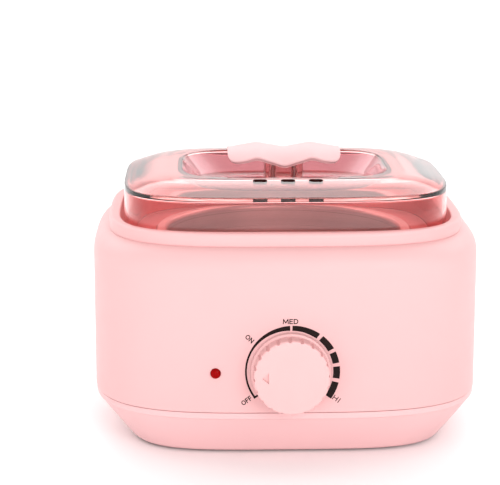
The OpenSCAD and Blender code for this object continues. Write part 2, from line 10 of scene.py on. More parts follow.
import bmesh
import bpy
import numpy as np
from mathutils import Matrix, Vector


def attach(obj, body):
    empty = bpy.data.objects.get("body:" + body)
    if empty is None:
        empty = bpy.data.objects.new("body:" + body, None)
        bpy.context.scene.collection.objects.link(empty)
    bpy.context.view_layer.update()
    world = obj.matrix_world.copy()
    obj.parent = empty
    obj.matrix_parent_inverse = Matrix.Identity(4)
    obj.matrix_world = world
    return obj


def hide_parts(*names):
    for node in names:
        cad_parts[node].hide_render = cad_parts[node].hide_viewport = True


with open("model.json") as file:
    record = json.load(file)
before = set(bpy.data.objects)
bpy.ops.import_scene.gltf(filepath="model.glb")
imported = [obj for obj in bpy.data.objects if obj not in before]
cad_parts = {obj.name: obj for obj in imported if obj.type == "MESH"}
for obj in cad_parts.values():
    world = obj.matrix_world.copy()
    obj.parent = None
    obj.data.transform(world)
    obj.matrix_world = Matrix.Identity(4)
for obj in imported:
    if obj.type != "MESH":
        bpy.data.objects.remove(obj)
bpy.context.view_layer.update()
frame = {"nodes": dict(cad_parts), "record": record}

MM = 0.001

# Outlines are superellipses: half width, half depth and a power (2 is an ellipse, more is squarer).
BODY_X, BODY_Y, BODY_POWER = 97.5, 87.1, 3.47
LID_X, LID_Y, LID_POWER = 82.3, 71.9, 3.9
RECESS_POWER = 4.04                # the recess the lid stands in
BASE_POWER = 4.25                  # the underside of the base
RING_POINTS = 208

SEAM, DECK, RIM = 24.3, 95.5, 110.9    # heights: casing joint, recess floor, top edge
DIAL_Z = 45.15
LAMP_X, LAMP_Z = -36.1, 44.2
CORD_X, CORD_Z = 30, 34
SCREW_SPOTS = [(x, y) for x in (72, -72) for y in (22, -22)]
FOOT_X, FOOT_Y = 60, 50


# ------------------------------------------------------------------ curves and profiles
def outline(half_x, half_y, power, z, angles):
    """A superellipse ring at height z, with a point at each angle."""
    cos, sin = np.cos(angles), np.sin(angles)
    radius = (np.abs(cos / half_x) ** power + np.abs(sin / half_y) ** power) ** (-1.0 / power)
    return np.stack([radius * cos, radius * sin, np.full_like(radius, float(z))], 1)


def full_turn(count):
    return np.arange(count) / count * 2 * math.pi


def even_angles(half_x, half_y, power, count):
    """Angles that space points evenly along the outline."""
    fine = np.linspace(0, 2 * math.pi, 20001)
    points = outline(half_x, half_y, power, 0, fine)
    lengths = np.linalg.norm(np.diff(points, axis=0), axis=1)
    run = np.concatenate([[0], np.cumsum(lengths)])
    return np.interp(np.arange(count) / count * run[-1], run, fine)


BODY_ANGLES = even_angles(BODY_X, BODY_Y, BODY_POWER, RING_POINTS)
LID_ANGLES = even_angles(LID_X, LID_Y, LID_POWER, RING_POINTS)


def soften(controls, steps=5, wrap=False):
    """A path through corners (..., cut), each rounded over the length cut.

    Lengths are measured in the first and the last coordinate.
    """
    corners = [np.array(control[:-1], float) for control in controls]
    count, path = len(corners), []
    for i, corner in enumerate(corners):
        cut = controls[i][-1]
        if (not wrap and i in (0, count - 1)) or cut <= 0:
            path.append(corner)
            continue
        back, ahead = corners[(i - 1) % count] - corner, corners[(i + 1) % count] - corner
        back_length = math.hypot(back[0], back[-1])
        ahead_length = math.hypot(ahead[0], ahead[-1])
        reach = min(cut, 0.48 * back_length, 0.48 * ahead_length)
        start = corner + back * reach / back_length
        end = corner + ahead * reach / ahead_length
        for k in range(steps + 1):
            t = k / steps
            path.append((1 - t) ** 2 * start + 2 * t * (1 - t) * corner + t * t * end)
    return path


def subdivide(path, longest, wrap=False):
    """Extra points on long spans, close to both ends first, so that shading stays flat there."""
    result = []
    count = len(path)
    for i, point in enumerate(path):
        result.append(point)
        if i == count - 1 and not wrap:
            break
        following = path[(i + 1) % count]
        length = math.hypot(following[0] - point[0], following[-1] - point[-1])
        if length > longest:
            parts = int(math.ceil(length / longest))
            edge = min(0.6 / length, 0.2)
            inner = [j / parts for j in range(1, parts) if edge * 1.5 < j / parts < 1 - edge * 1.5]
            result += [point + (following - point) * t for t in [edge] + inner + [1 - edge]]
    return result


def spline(guide, steps):
    """A Catmull-Rom curve through the guide points."""
    guide = [np.array(point, float) for point in guide]
    path = []
    for i in range(len(guide) - 1):
        before, start = guide[max(i - 1, 0)], guide[i]
        end, after = guide[i + 1], guide[min(i + 2, len(guide) - 1)]
        for k in range(steps):
            t = k / steps
            path.append(0.5 * (2 * start + (end - before) * t
                               + (2 * before - 5 * start + 4 * end - after) * t * t
                               + (3 * start - before - 3 * end + after) * t ** 3))
    path.append(guide[-1])
    return path


def bezier(start, pull_start, pull_end, end, steps):
    start, pull_start, pull_end, end = (
        np.array(point, float) for point in (start, pull_start, pull_end, end))
    return [(1 - t) ** 3 * start + 3 * t * (1 - t) ** 2 * pull_start
            + 3 * t * t * (1 - t) * pull_end + t ** 3 * end
            for t in np.linspace(0, 1, steps + 1)]


def convex_hull(points):
    points = sorted(set((round(x, 5), round(y, 5)) for x, y in points))

    def turns_left(first, second, third):
        return ((second[0] - first[0]) * (third[1] - first[1])
                - (second[1] - first[1]) * (third[0] - first[0])) > 0

    def chain(ordered):
        kept = []
        for point in ordered:
            while len(kept) > 1 and not turns_left(kept[-2], kept[-1], point):
                kept.pop()
            kept.append(point)
        return kept[:-1]

    return chain(points) + chain(points[::-1])


def wall_y(x):
    """The Y of the casing's front wall at x."""
    return -BODY_Y * (1 - abs(x / BODY_X) ** BODY_POWER) ** (1 / BODY_POWER)


# ------------------------------------------------------------------ meshes and objects
def place(name, mesh):
    obj = bpy.data.objects.new(name, mesh)
    bpy.context.scene.collection.objects.link(obj)
    return obj


def build(name, verts, faces):
    """An object from millimetre points, with doubles merged and normals outward."""
    mesh = bpy.data.meshes.new(name)
    mesh.from_pydata([tuple(vert) for vert in np.asarray(verts, float) * MM], [], faces)
    bm = bmesh.new()
    bm.from_mesh(mesh)
    bmesh.ops.remove_doubles(bm, verts=bm.verts, dist=1e-7)
    bmesh.ops.recalc_face_normals(bm, faces=bm.faces)
    bm.to_mesh(mesh)
    bm.free()
    mesh.update()
    return place(name, mesh)


def loft(name, rings, wrap=False):
    """Equal rings joined by quads. Unless wrapped, both ends close on a centre point."""
    grid = np.array(rings, float)
    rows, count, _ = grid.shape
    verts = list(grid.reshape(-1, 3))
    faces = []
    for j in range(rows if wrap else rows - 1):
        low, high = j * count, ((j + 1) % rows) * count
        faces += [(low + i, low + (i + 1) % count, high + (i + 1) % count, high + i)
                  for i in range(count)]
    if not wrap:
        for j in (0, rows - 1):
            verts.append(grid[j].mean(0))
            centre = len(verts) - 1
            faces += [(j * count + i, j * count + (i + 1) % count, centre) for i in range(count)]
    return build(name, verts, faces)


def spin(name, profile, segments, axis="Z", at=(0, 0, 0), wrap=False, flip=1):
    """A profile of (radius, height) turned about Z, or about Y with the height along flip * Y."""
    rings = []
    angles = full_turn(segments)
    for radius, height in profile:
        radius = max(radius, 1e-4)
        across = at[0] + radius * np.cos(angles)
        if axis == "Z":
            ring = [across, at[1] + radius * np.sin(angles), np.full(segments, at[2] + height)]
        else:
            ring = [across, np.full(segments, at[1] + flip * height),
                    at[2] + radius * np.sin(angles)]
        rings.append(np.stack(ring, 1))
    return loft(name, rings, wrap)


def cylinder(x, y, z, radius, height, axis="Z", segments=64):
    """A boolean tool that runs from (x, y, z) along +axis."""
    return spin("cutter", [(radius, 0), (radius, height)], segments, axis, (x, y, z))


def slot_tool(x, y, reach_x, reach_y, radius, low, high):
    """A round-ended upright slot whose end centres lie at (x, y) plus and minus the reach."""
    turn = -math.atan2(reach_x, reach_y)
    ring = []
    for sign in (1, -1):
        for k in range(13):
            angle = math.pi * k / 12 + turn + (0 if sign > 0 else math.pi)
            ring.append((x + sign * reach_x + radius * math.cos(angle),
                         y + sign * reach_y + radius * math.sin(angle)))
    return loft("cutter", [[(px, py, z) for px, py in ring] for z in (low, high)])


def boolean(obj, tools, operation="DIFFERENCE"):
    """Apply every tool to the object, then delete the tools."""
    for tool in tools:
        modifier = obj.modifiers.new("cut", "BOOLEAN")
        modifier.object, modifier.operation, modifier.solver = tool, operation, "EXACT"
    bpy.context.view_layer.update()
    graph = bpy.context.evaluated_depsgraph_get()
    mesh = bpy.data.meshes.new_from_object(obj.evaluated_get(graph))
    before = obj.data
    obj.modifiers.clear()
    obj.data = mesh
    bpy.data.meshes.remove(before)
    for tool in tools:
        data = tool.data
        bpy.data.objects.remove(tool)
        bpy.data.meshes.remove(data)


def join(parts, name):
    bm = bmesh.new()
    for part in parts:
        bm.from_mesh(part.data)
    mesh = bpy.data.meshes.new(name)
    bm.to_mesh(mesh)
    bm.free()
    for part in parts:
        bpy.data.objects.remove(part)
    return place(name, mesh)


def finish(obj, material, body, node=None, angle=34.0, weighted=True):
    """Gives the object the named material, smooth shading and, when weighted is set, weighted
    normals; attaches it to its body and hides the CAD node it replaces.
    """
    mesh = obj.data
    mesh.materials.clear()
    mesh.materials.append(MATERIALS[material])
    mesh.polygons.foreach_set("use_smooth", [True] * len(mesh.polygons))
    mesh.set_sharp_from_angle(angle=math.radians(angle))
    if weighted:
        normals = obj.modifiers.new("normals", "WEIGHTED_NORMAL")
        normals.mode, normals.weight, normals.keep_sharp = "FACE_AREA", 50, True
    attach(obj, body)
    if node:
        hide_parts(node)


# ------------------------------------------------------------------ shader helpers
MATERIALS = {}


def feed(tree, node, inputs):
    """Link sockets and set plain values on a node's inputs."""
    for key, value in inputs.items():
        if isinstance(value, bpy.types.NodeSocket):
            tree.links.new(value, node.inputs[key])
        else:
            node.inputs[key].default_value = value


def add_node(tree, kind, inputs=None, **settings):
    node = tree.nodes.new(kind)
    for key, value in settings.items():
        setattr(node, key, value)
    feed(tree, node, inputs or {})
    return node


def maths(tree, operation, first, *rest):
    """One operation carried from left to right, or applied to a single value."""
    if not rest:
        return add_node(tree, "ShaderNodeMath", {0: first}, operation=operation).outputs[0]
    for value in rest:
        first = add_node(tree, "ShaderNodeMath", {0: first, 1: value},
                         operation=operation).outputs[0]
    return first


def smooth(tree, value, zero_at, one_at):
    """A smooth step from 0 to 1."""
    return add_node(tree, "ShaderNodeMapRange", {"From Min": zero_at, "From Max": one_at,
                    "Value": value}, interpolation_type="SMOOTHSTEP").outputs[0]


def remap(tree, value, to_low, to_high, from_low=0.3, from_high=0.7):
    return add_node(tree, "ShaderNodeMapRange", {
        "From Min": from_low, "From Max": from_high,
        "To Min": to_low, "To Max": to_high, "Value": value}).outputs[0]


def coordinates(tree, kind="Object"):
    return add_node(tree, "ShaderNodeTexCoord").outputs[kind]


def split_xyz(tree, vector):
    return add_node(tree, "ShaderNodeSeparateXYZ", {0: vector}).outputs


def noise(tree, scale, detail, stretch=None):
    source = coordinates(tree)
    if stretch:
        source = add_node(tree, "ShaderNodeMapping",
                          {"Vector": source, "Scale": stretch}).outputs[0]
    return add_node(tree, "ShaderNodeTexNoise", {
        "Scale": scale, "Detail": detail, "Roughness": 0.6, "Vector": source}).outputs["Fac"]


def mix_colors(tree, share, first, second):
    return add_node(tree, "ShaderNodeMix", {0: share, 6: first, 7: second},
                    data_type="RGBA").outputs[2]


def tinted(tree, value, color, spread, **source):
    """The color, darker or lighter by the share spread as the value goes from low to high."""
    color = np.array(color, float)
    dark, light = ((*np.clip(color * share, 0, 1), 1) for share in (1 - spread, 1 + spread))
    return mix_colors(tree, remap(tree, value, 0, 1, **source), dark, light)


def bump_normal(tree, height, strength, distance):
    return add_node(tree, "ShaderNodeBump", {
        "Strength": strength, "Distance": distance, "Height": height}).outputs[0]


def new_material(name):
    material = bpy.data.materials.new(name)
    material.use_nodes = True
    tree = material.node_tree
    tree.nodes.clear()
    output = add_node(tree, "ShaderNodeOutputMaterial")
    bsdf = add_node(tree, "ShaderNodeBsdfPrincipled")
    feed(tree, output, {"Surface": bsdf.outputs[0]})
    MATERIALS[name] = material
    return tree, bsdf, output


# ------------------------------------------------------------------ materials
def surface(name, color, rough, rough_spread=0.04, spread=0.02, scale=40, bump=0.05,
            bump_scale=1400, metal=0.0, specular=0.5, stretch=None):
    """A plain finish with slightly uneven color, roughness and grain.

    scale sets the size of the color patches, bump and bump_scale the grain.
    """
    tree, bsdf, _ = new_material(name)
    rough_noise = noise(tree, scale=scale * 4.1, detail=5)
    grain = noise(tree, scale=bump_scale, detail=3, stretch=stretch)
    feed(tree, bsdf, {
        "Base Color": tinted(tree, noise(tree, scale=scale, detail=3), color, spread),
        "Roughness": remap(tree, rough_noise, rough - rough_spread, rough + rough_spread),
        "Metallic": metal,
        "IOR": 1.49,
        "Specular IOR Level": specular,
        "Coat Roughness": 0.1,
        "Normal": bump_normal(tree, grain, strength=bump, distance=0.00005),
    })


def spun_metal(name, color, rough, strength=0.25, metal=1.0):
    """Turned metal: fine rings about the Z axis, in the bump and in the roughness."""
    tree, bsdf, _ = new_material(name)
    x, y, z = split_xyz(tree, coordinates(tree))
    flat = add_node(tree, "ShaderNodeCombineXYZ", {0: x, 1: y}).outputs[0]
    radius = add_node(tree, "ShaderNodeVectorMath", {0: flat}, operation="LENGTH").outputs["Value"]
    section = add_node(tree, "ShaderNodeCombineXYZ", {0: radius, 1: z}).outputs[0]
    grooves, bands = (
        add_node(tree, "ShaderNodeTexNoise",
                 {"Scale": scale, "Detail": detail, "Vector": section}).outputs["Fac"]
        for scale, detail in ((2600, 4), (240, 3)))
    feed(tree, bsdf, {
        "Base Color": tinted(tree, bands, color, spread=0.05),
        "Roughness": remap(tree, grooves, rough * 0.75, rough * 1.3),
        "Metallic": metal,
        "Normal": bump_normal(tree, grooves, strength=strength, distance=0.00004),
    })


def red_lens():
    tree, bsdf, _ = new_material("red_lens")
    color_noise = noise(tree, scale=900, detail=2)
    rough_noise = noise(tree, scale=1500, detail=4)
    ripple = noise(tree, scale=2200, detail=2)
    feed(tree, bsdf, {
        "Base Color": tinted(tree, color_noise, color=(0.25, 0.0005, 0.001), spread=0.2),
        "Roughness": remap(tree, rough_noise, to_low=0.08, to_high=0.18),
        "Specular IOR Level": 0.06,
        "Emission Color": (0.5, 0.0, 0.002, 1),
        "Emission Strength": 0.03,
        "Normal": bump_normal(tree, ripple, strength=0.08, distance=0.00003),
    })


def tie_fabric():
    """Black weave made of two crossed sets of bands."""
    tree, bsdf, _ = new_material("tie_fabric")
    source = coordinates(tree)
    waves = [add_node(tree, "ShaderNodeTexWave",
                      {"Scale": 900, "Distortion": 1.5, "Vector": source},
                      wave_type="BANDS", bands_direction=direction).outputs["Fac"]
             for direction in "XZ"]
    weave = maths(tree, "MULTIPLY", *waves)
    rough_noise = noise(tree, scale=700, detail=3)
    feed(tree, bsdf, {
        "Base Color": tinted(tree, weave, color=(0.02, 0.02, 0.022), spread=0.5,
                             from_low=0, from_high=1),
        "Roughness": remap(tree, rough_noise, to_low=0.75, to_high=0.95),
        "Sheen Weight": 0.3,
        "Normal": bump_normal(tree, weave, strength=0.6, distance=0.0002),
    })


def lid_color(tree):
    """The lid's rose color, with zones marked out by position in metres: painted shade in the
    basin, a paler tint on the stem, and painted dark lines along the top edge of the side walls and
    round the basin's mouth.
    """
    position = split_xyz(tree, coordinates(tree))

    def beyond(axis, zero_at, one_at):
        return smooth(tree, maths(tree, "ABSOLUTE", position[axis]), zero_at, one_at)

    def outward(half_x, half_y, power, zero_at, one_at):
        """How far out a point lies on a rounded-box outline, 1 on the outline."""
        parts = []
        for axis, half in ((0, half_x), (1, half_y)):
            size = maths(tree, "ABSOLUTE", position[axis])
            parts.append(maths(tree, "POWER", maths(tree, "DIVIDE", size, half), power))
        return smooth(tree, maths(tree, "ADD", *parts), zero_at, one_at)

    color = tinted(tree, noise(tree, scale=30, detail=2), color=(0.955, 0.51, 0.50), spread=0.008)
    # The basin's darker, magenta tint is painted shade seen through the recess.
    basin = (beyond(0, 0.0548, 0.0522), beyond(1, 0.0462, 0.0436), beyond(2, 0.1318, 0.1306))
    stem = (beyond(0, 0.0135, 0.0115), beyond(1, 0.0115, 0.0095))
    painted_crease_line = (outward(0.0826, 0.0722, 4, 0.84, 0.88),       # painted shade: a dark line along the top edge of the side walls
              beyond(2, 0.12605, 0.12625), beyond(2, 0.12700, 0.12675))
    painted_mouth_line = (outward(0.0524, 0.0441, 4.2, 0.955, 0.975),    # painted shade: a dark line round the upper edge of the basin
             outward(0.0524, 0.0441, 4.2, 1.03, 1.01), beyond(2, 0.1311, 0.1314))
    for masks, zone_color in ((basin, (0.58, 0.36, 0.41)), (stem, (0.84, 0.69, 0.67)),
                              (painted_crease_line, (0.10, 0.03, 0.028)), (painted_mouth_line, (0.13, 0.045, 0.045))):
        color = mix_colors(tree, maths(tree, "MULTIPLY", *masks), color, (*zone_color, 1))
    return color


def tinted_lid():
    """Clear rose plastic that also absorbs with depth. Shadow rays pass straight through."""
    tree, bsdf, output = new_material("tinted_lid")
    rough_noise = noise(tree, scale=90, detail=4)
    # This noise has its own, lower roughness.
    waviness = add_node(tree, "ShaderNodeTexNoise", {
        "Scale": 45, "Detail": 2, "Roughness": 0.5, "Vector": coordinates(tree)}).outputs["Fac"]
    feed(tree, bsdf, {
        "Base Color": lid_color(tree),
        "Roughness": remap(tree, rough_noise, to_low=0.0, to_high=0.02),
        "Transmission Weight": 1.0,
        "IOR": 1.49,
        "Normal": bump_normal(tree, waviness, strength=0.03, distance=0.0004),
    })
    clear = add_node(tree, "ShaderNodeBsdfTransparent", {"Color": (0.985, 0.89, 0.885, 1)})
    shadow_ray = add_node(tree, "ShaderNodeLightPath").outputs["Is Shadow Ray"]
    mixed = add_node(tree, "ShaderNodeMixShader",
                     {0: shadow_ray, 1: bsdf.outputs[0], 2: clear.outputs[0]})

    depth = 2.4 * MM
    passed = np.array([0.985, 0.955, 0.952])        # share of each color left after that depth
    absorbed = -np.log(passed) / depth
    density = float(absorbed.max()) * 1.02
    volume = add_node(tree, "ShaderNodeVolumeAbsorption", {
        "Density": density,
        "Color": (*[float(share) for share in 1 - absorbed / density], 1)})
    feed(tree, output, {"Surface": mixed.outputs[0], "Volume": volume.outputs[0]})


def floor_paint():
    tree, bsdf, _ = new_material("floor_paint")
    color_noise = noise(tree, scale=6, detail=4)
    rough_noise = noise(tree, scale=30, detail=4)
    grain = noise(tree, scale=500, detail=3)
    feed(tree, bsdf, {
        "Base Color": tinted(tree, color_noise, color=(0.94, 0.927, 0.927), spread=0.006),
        "Roughness": remap(tree, rough_noise, to_low=0.45, to_high=0.6),
        "Specular IOR Level": 0.25,
        "Normal": bump_normal(tree, grain, strength=0.03, distance=0.0002),
    })


surface("pink_shell", color=(0.74, 0.427, 0.427), rough=0.46, specular=0.4, scale=22,
        bump=0.10, bump_scale=1700, spread=0.012)
surface("pink_knob", color=(0.755, 0.432, 0.428), rough=0.34, scale=60,
        bump=0.10, bump_scale=1900, spread=0.012)
surface("pink_base", color=(0.765, 0.463, 0.467), rough=0.46, specular=0.4, scale=22,
        bump=0.10, bump_scale=1700, spread=0.012)
surface("pink_handle", color=(0.735, 0.43, 0.435), rough=0.44, scale=60,
        bump=0.10, bump_scale=1900, spread=0.012)
surface("foot_rubber", color=(0.022, 0.022, 0.023), rough=0.72, spread=0.15, scale=200, bump=0.3)
surface("screw_steel", color=(0.55, 0.55, 0.56), rough=0.3, metal=1, spread=0.06, scale=300,
        bump=0.15)
surface("sheet_steel", color=(0.5, 0.51, 0.53), rough=0.36, metal=1, spread=0.06, scale=120,
        bump=0.15, stretch=(1, 12, 1))
spun_metal("well_aluminium", color=(0.62, 0.62, 0.63), rough=0.34)
spun_metal("pot_aluminium", color=(0.62, 0.61, 0.6), rough=0.34, metal=0.72)
spun_metal("pot_outside", color=(0.42, 0.42, 0.43), rough=0.26, strength=0.4)
spun_metal("sheet_aluminium", color=(0.7, 0.7, 0.7), rough=0.4)
surface("silicone", color=(0.66, 0.6, 0.58), rough=0.5, spread=0.04, scale=150, bump=0.15)
surface("mica_band", color=(0.36, 0.28, 0.16), rough=0.45, spread=0.2, scale=90,
        bump=0.3, bump_scale=500)
surface("thermostat_plastic", color=(0.03, 0.022, 0.018), rough=0.42, spread=0.15, scale=160,
        bump=0.2)
surface("brass_tabs", color=(0.62, 0.5, 0.3), rough=0.24, metal=1, spread=0.06, scale=160,
        bump=0.12)
surface("copper_pad", color=(0.66, 0.34, 0.22), rough=0.3, metal=1, spread=0.08, scale=160,
        bump=0.12)
surface("fuse_ceramic", color=(0.72, 0.66, 0.54), rough=0.3, spread=0.06, scale=200)
surface("white_plastic", color=(0.74, 0.73, 0.69), rough=0.42, spread=0.03, scale=120)
surface("neon_glass", color=(0.8, 0.4, 0.3), rough=0.1, spread=0.05, scale=200, bump=0.02)
surface("wire_insulation", color=(0.28, 0.02, 0.018), rough=0.45, spread=0.12, scale=160)
surface("cord_plastic", color=(0.55, 0.53, 0.52), rough=0.44, spread=0.03, scale=120,
        bump=0.25, bump_scale=900)
surface("dial_ink", color=(0.012, 0.006, 0.0055), rough=0.5, rough_spread=0.08, specular=0.12,
        spread=0.3, scale=900, bump=0.15)
red_lens()
tie_fabric()
tinted_lid()
# Near-black matte walls for the lid's slots: painted shade.
surface("lid_slot_shade", color=(0.03, 0.007, 0.006), rough=0.7, specular=0.1, spread=0.2,
        scale=300, bump=0.3, bump_scale=900)

# Every CAD node starts with its slot's finish.
SLOTS = {part["node"]: part["material_slot"] for part in frame["record"]["subparts"]}
for node_name, cad_object in frame["nodes"].items():
    cad_object.data.materials.clear()
    cad_object.data.materials.append(MATERIALS[SLOTS[node_name]])


# ------------------------------------------------------------------ casing
def body_rings(path):
    """Rings from (inset, power, z)."""
    return [outline(BODY_X - inset, BODY_Y - inset, power, z, BODY_ANGLES)
            for inset, power, z in path]


def morphed_ring(start, end, share, z):
    """A ring part of the way between two (half x, half y, power) outlines."""
    mixed = np.array(start) * (1 - share) + np.array(end) * share
    return outline(*mixed, z, BODY_ANGLES)


def upper_housing():
    """One closed skin: up the outside, over the rim, in along the deck and back underneath."""
    wall, low = 2.6, SEAM + 0.14
    shoulder_z, shoulder_inset, shoulder_top = 93.0, 8.1, 104.55
    under_deck, under_inset = 93.1, 11.6

    # Corners are (inset, power, z, cut).
    path = soften([(wall, BODY_POWER, 60, 0), (wall, BODY_POWER, low, 0.25),
                   (0.0, BODY_POWER, low, 0.4), (0.0, BODY_POWER, shoulder_z, 0)])
    shoulder = bezier((0, shoulder_z), (0, 99.5), (3.3, 103.1), (shoulder_inset, shoulder_top), 16)
    path += [np.array([inset, BODY_POWER, z]) for inset, z in shoulder[1:]]
    path += soften([(shoulder_inset, BODY_POWER, shoulder_top, 0), (7.9, BODY_POWER, 104.95, 0.15),
                    (7.9, BODY_POWER, RIM, 2.1), (13.8, RECESS_POWER, RIM, 1.0),
                    (14.0, RECESS_POWER, DECK, 1.0)], 7)[1:]
    rings = body_rings(subdivide(path, 9))

    # The deck runs from the recess wall to the round opening.
    for share in np.linspace(0.05, 1, 9):
        rings.append(morphed_ring((BODY_X - 15, BODY_Y - 15, RECESS_POWER), (66.5, 66.5, 2),
                                  share, DECK))
    for radius, z in ((66.2, DECK - 0.08), (66.0, DECK - 0.4), (66.0, 93.5), (66.2, under_deck)):
        rings.append(outline(radius, radius, 2, z, BODY_ANGLES))
    for share in np.linspace(0.15, 1, 5):
        rings.append(morphed_ring(
            (66.2, 66.2, 2), (BODY_X - under_inset, BODY_Y - under_inset, RECESS_POWER),
            share, under_deck))
    rings += body_rings(soften([
        (under_inset, RECESS_POWER, under_deck, 0), (under_inset, RECESS_POWER, 100.4, 0.5),
        (8.6, BODY_POWER, 100.4, 0.5), (5.8, BODY_POWER, 98.1, 0.5), (3.7, BODY_POWER, 95.3, 0.5),
        (wall, BODY_POWER, 91.5, 0), (wall, BODY_POWER, 75, 0)])[1:])
    obj = loft("housing", rings, wrap=True)

    posts = [cylinder(x, y, 14.3, radius=4.5, height=DECK - 15.3) for x, y in SCREW_SPOTS]
    posts += [cylinder(x, 0, 28.55, radius=4.5, height=DECK - 29.6) for x in (76, -76)]
    boolean(obj, posts, "UNION")
    holes = [cylinder(0, -BODY_Y - 2, DIAL_Z, 4.5, 7, "Y", 48),
             cylinder(LAMP_X, -BODY_Y - 2, LAMP_Z, 2.6, 8, "Y", 48),
             cylinder(CORD_X, BODY_Y - 6, CORD_Z, 6, 8, "Y", 64)]
    holes += [cylinder(x, y, 10, 1.5, 26, segments=24) for x, y in SCREW_SPOTS]
    boolean(obj, holes)
    finish(obj, "pink_shell", "root", "upper_housing", angle=32)


def base_shell():
    top = SEAM - 0.3
    side_top = top - 3.2
    # Corners are (inset, power, z, cut), from the middle of the underside outwards.
    path = [(60, BASE_POWER, 1.2, 0), (BODY_X - 40, BASE_POWER, 1.2, 0),
            (19.2, BASE_POWER, 1.2, 0), (18.2, BASE_POWER, 1.2, 0.5), (17.1, BASE_POWER, 2.2, 0.9)]
    for share in np.linspace(0.08, 0.97, 10):
        path.append((17.2 + (0.95 - 17.2) * share,
                     BASE_POWER + (BODY_POWER - BASE_POWER) * share,
                     2.1 + (side_top - 2.1) * share, 0))
    path += [(inset, BODY_POWER, z, cut) for inset, z, cut in (
        (0.95, side_top, 0.3), (0.38, top - 2.75, 0.3), (0.35, top + 0.16, 0.3),
        (2.75, top + 0.16, 0.1), (2.75, top + 4.2, 0.4), (4.4, top + 4.2, 0.4),
        (4.4, top - 3.4, 0))]
    path += [(19.6, BASE_POWER, 3.7, 0.6), (40, BASE_POWER, 3.7, 0), (60, BASE_POWER, 3.7, 0)]

    def extra_depth(z):
        """The base tapers less at front and back."""
        return 4.6 * max(0.0, min(1.0, (SEAM - 3.7 - z) / (SEAM - 5.8)))

    obj = loft("base", [
        outline(BODY_X - inset, BODY_Y - inset + extra_depth(z), power, z, BODY_ANGLES)
        for inset, power, z in soften(path, 5)])
    boolean(obj, [cylinder(x, y, 2.5, 6, 11.7) for x, y in SCREW_SPOTS], "UNION")

    foot_seats = [(x, y) for x in (FOOT_X, -FOOT_X) for y in (FOOT_Y, -FOOT_Y)] + [(0, 0)]
    tools = [cylinder(x, y, -1, 4.2, 11, segments=48) for x, y in SCREW_SPOTS]
    tools += [cylinder(x, y, 9, 1.9, 7, segments=32) for x, y in SCREW_SPOTS]
    tools += [cylinder(x, y, -1, 3.05, 7, segments=32) for x, y in foot_seats]
    tools += [slot_tool(10 * i, 0, reach_x=0, reach_y=13.7, radius=1.3, low=-1, high=6)
              for i in (-3, -2, -1, 1, 2, 3)]
    tools.append(cylinder(CORD_X, BODY_Y - 12, CORD_Z, 7.5, 10, "Y", 48))
    boolean(obj, tools)
    finish(obj, "pink_base", "root", "base_shell", angle=30)


def feet():
    # (radius, z, cut)
    profile = soften([(0.2, 0, 0), (6.9, 0, 0.9), (7.0, 1.15, 0.25), (3.0, 1.15, 0),
                      (3.0, 3.75, 0), (3.7, 3.9, 0), (2.2, 5.6, 0.4), (0.2, 5.6, 0)], 5)
    spots = [(x, y) for y in (FOOT_Y, -FOOT_Y) for x in (FOOT_X, -FOOT_X)] + [(0, 0)]
    parts = [spin("foot", profile, 64, at=(x, y, 0)) for x, y in spots]
    finish(join(parts, "feet"), "foot_rubber", "root", "rubber_feet")


# ------------------------------------------------------------------ pot and heating well
def wax_pot():
    # (radius, z, cut): up the outside, over the rolled rim and down the inside.
    profile = soften([
        (0.2, 38.55, 0), (30, 38.55, 0), (55, 38.55, 0), (62.2, 39.2, 5.5), (62.2, 60, 0),
        (62.2, 97.35, 0.5), (67.0, 97.35, 0.6), (67.35, 98.2, 0.8), (66.6, 99.05, 0.8),
        (61.9, 99.05, 1.2), (61.0, 97.6, 0.9), (61.0, 60, 0), (61.0, 39.75, 6.5),
        (48, 39.75, 0), (20, 39.75, 0), (0.2, 39.75, 0)], 8)
    obj = spin("pot_bowl", subdivide(profile, 8), 192)
    finish(obj, "pot_aluminium", "pot", "wax_pot")
    obj.data.materials.append(MATERIALS["pot_outside"])
    for face in obj.data.polygons:              # the outside and bottom, below the rolled rim
        centre, normal = face.center / MM, face.normal
        outwards = centre.x * normal.x + centre.y * normal.y
        is_side = outwards > 0.5 * math.hypot(centre.x, centre.y)
        is_bottom = normal.z < -0.3 and centre.z < 46
        if centre.z < 97.2 and (is_side or is_bottom):
            face.material_index = 1


def heating_well():
    # (radius, z, cut)
    profile = soften([
        (0.2, 22, 0), (2, 22, 0.3), (2, 37, 0), (58, 37, 0), (64.4, 37.2, 4), (64.4, 60, 0),
        (64.4, 96.2, 0.3), (68.0, 96.2, 0.3), (68.0, 97.3, 0.3), (64.0, 97.3, 0.4),
        (63.2, 96.4, 0.6), (63.2, 60, 0), (63.2, 38.5, 4.5), (30, 38.5, 0), (0.2, 38.5, 0)], 7)
    finish(spin("well", subdivide(profile, 8), 192), "well_aluminium", "root", "heating_well")


def gasket():
    # (radius, z, cut)
    profile = soften([
        (64.65, 96.15, 0.1), (64.65, 92.6, 0.2), (65.3, 92.2, 0.3), (65.95, 92.6, 0.2),
        (65.95, 95.55, 0.1), (68.5, 95.55, 0.25), (68.5, 96.15, 0.25)], 4, wrap=True)
    finish(spin("gasket", profile, 160, wrap=True), "silicone", "root", "bowl_gasket")


